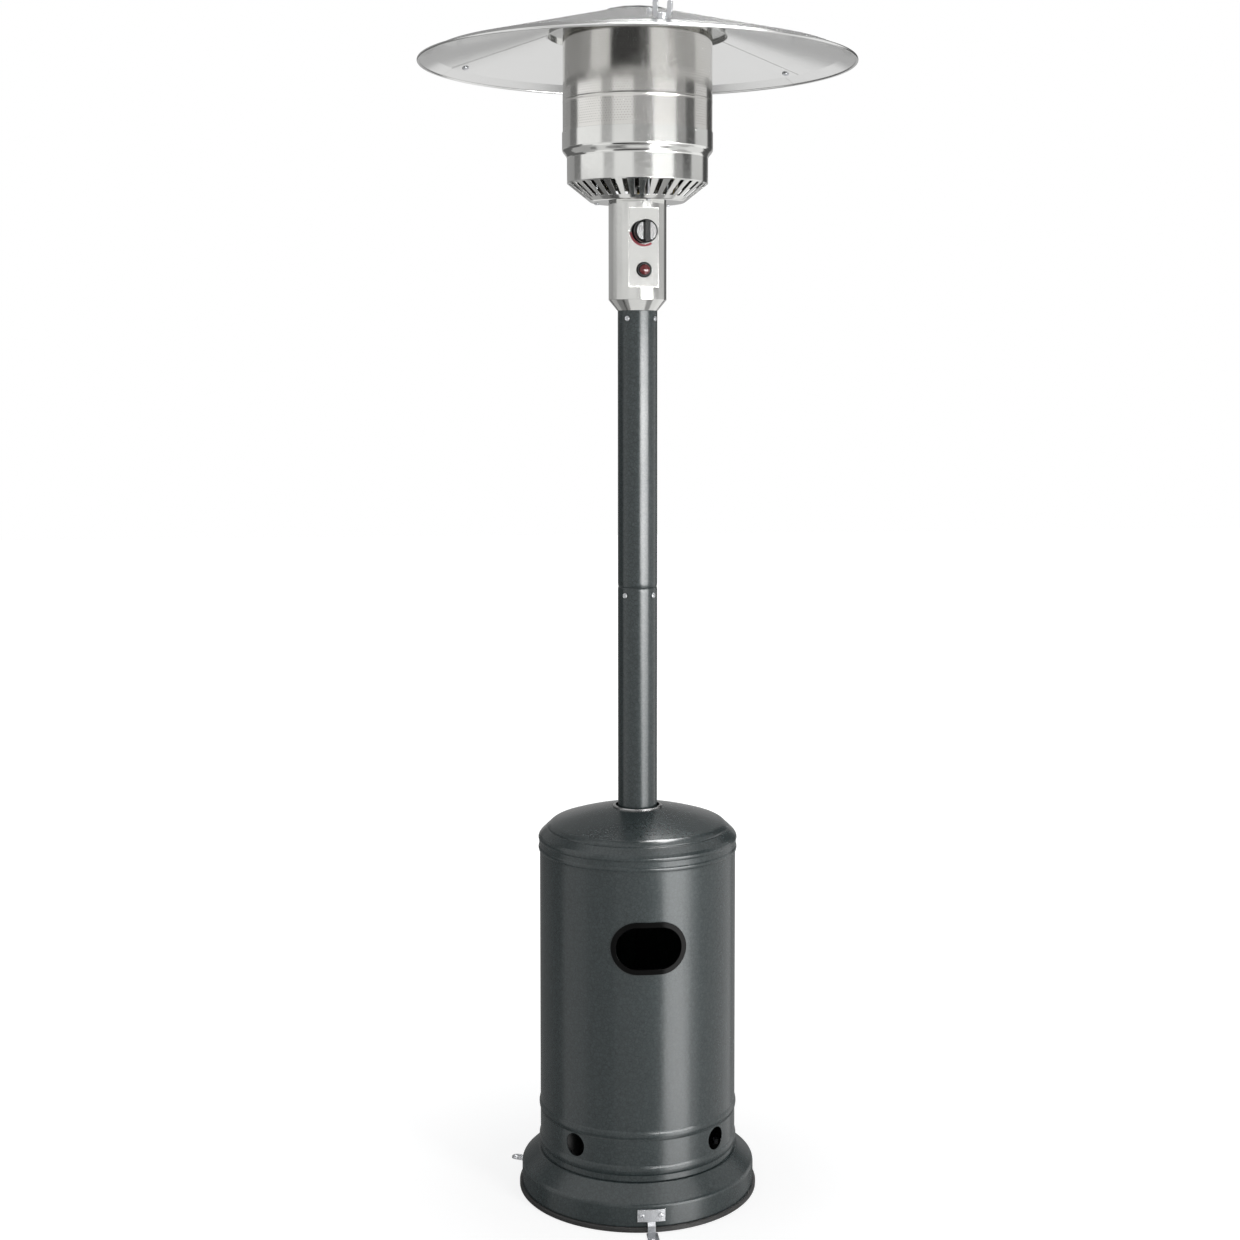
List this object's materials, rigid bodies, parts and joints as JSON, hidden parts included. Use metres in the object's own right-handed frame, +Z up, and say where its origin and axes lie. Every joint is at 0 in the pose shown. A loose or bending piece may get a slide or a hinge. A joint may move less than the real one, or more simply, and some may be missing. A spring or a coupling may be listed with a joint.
{
  "type": "patio heater",
  "caption": "Free-standing gas patio heater: round base, liftable tank housing, jointed pole, control head with knob and igniter, slotted burner bowl, emitter and wide reflector.",
  "frame": {"origin": "on the floor under the pole's axis, at the centre of the base", "axes": "+Z up along the pole, -Y towards the front with the hand hole"},
  "size_m": [0.813, 0.813, 2.2145],
  "materials": {
    "hammered_paint": "hammered dark grey paint, semi-gloss",
    "floor_trim": "black rubber edging",
    "rubber_trim": "glossy black rubber grommet",
    "zinc": "bright zinc-plated steel",
    "stainless": "polished stainless steel",
    "emitter_steel": "perforated stainless steel",
    "reflector_aluminium": "satin aluminium",
    "brass": "turned brass",
    "black_plastic": "black moulded plastic",
    "silver_plastic": "silver coated plastic",
    "red_plastic": "dark red glossy plastic",
    "ceramic": "white ceramic insulator"
  },
  "bodies": {
    "stand": {"base_pan": "hammered_paint", "lower_pole": "hammered_paint", "upper_pole": "hammered_paint", "support_strut_right": "hammered_paint", "support_strut_rear": "hammered_paint", "support_strut_left": "hammered_paint", "base_trim": "floor_trim", "anchor_brackets": "zinc", "anchor_screws": "zinc", "strut_base_bolts": "zinc", "strut_top_bolts": "zinc", "pole_flange": "zinc", "pole_sleeve": "zinc", "pole_joint_screws": "zinc", "head_spigot": "zinc", "head_screws": "zinc", "valve_nut": "zinc", "bowl_screws": "zinc", "tie_rods": "zinc", "reflector_standoffs": "zinc", "cap_bolts": "zinc", "seam_bolts": "zinc", "wing_nuts": "zinc", "seam_screws": "zinc", "control_housing": "stainless", "front_panel": "stainless", "burner_tube": "stainless", "burner_head": "stainless", "thermocouple": "stainless", "burner_bowl": "stainless", "emitter_band": "stainless", "emitter_top_plate": "stainless", "emitter_screen": "emitter_steel", "reflector_panel_right": "reflector_aluminium", "reflector_panel_rear": "reflector_aluminium", "reflector_panel_left": "reflector_aluminium", "reflector_cap": "reflector_aluminium", "valve_body": "brass", "valve_inlet": "brass", "gas_pipe": "brass", "injector": "brass", "pilot_burner": "brass", "igniter_body": "black_plastic", "igniter_bezel": "black_plastic", "tilt_switch": "black_plastic", "spark_electrode": "ceramic"},
    "housing": {"housing_drum": "hammered_paint", "housing_dome": "hammered_paint", "dome_collar": "stainless", "hand_hole_trim": "rubber_trim"},
    "plug": {"valve_plug": "zinc"},
    "knob": {"valve_stem": "zinc", "control_knob": "black_plastic", "knob_inserts": "silver_plastic"},
    "button": {"igniter_button": "red_plastic"}
  },
  "joints": [
    {"name": "housing_lift", "type": "slide", "parent": "stand", "child": "housing", "axis": [0, 0, 1], "range_m": [0, 0.6]},
    {"name": "knob_turn", "type": "hinge", "parent": "stand", "child": "plug", "pos_m": [0.00557, -0.03961, 1.804], "axis": [0.1392, -0.9903, 0], "range_deg": [0, 210]},
    {"name": "knob_push", "type": "slide", "parent": "plug", "child": "knob", "axis": [-0.1392, 0.9903, 0], "range_m": [0, 0.006], "stiffness_N_per_m": 700},
    {"name": "igniter_push", "type": "slide", "parent": "stand", "child": "button", "axis": [-0.1392, 0.9903, 0], "range_m": [0, 0.007], "stiffness_N_per_m": 600}
  ]
}
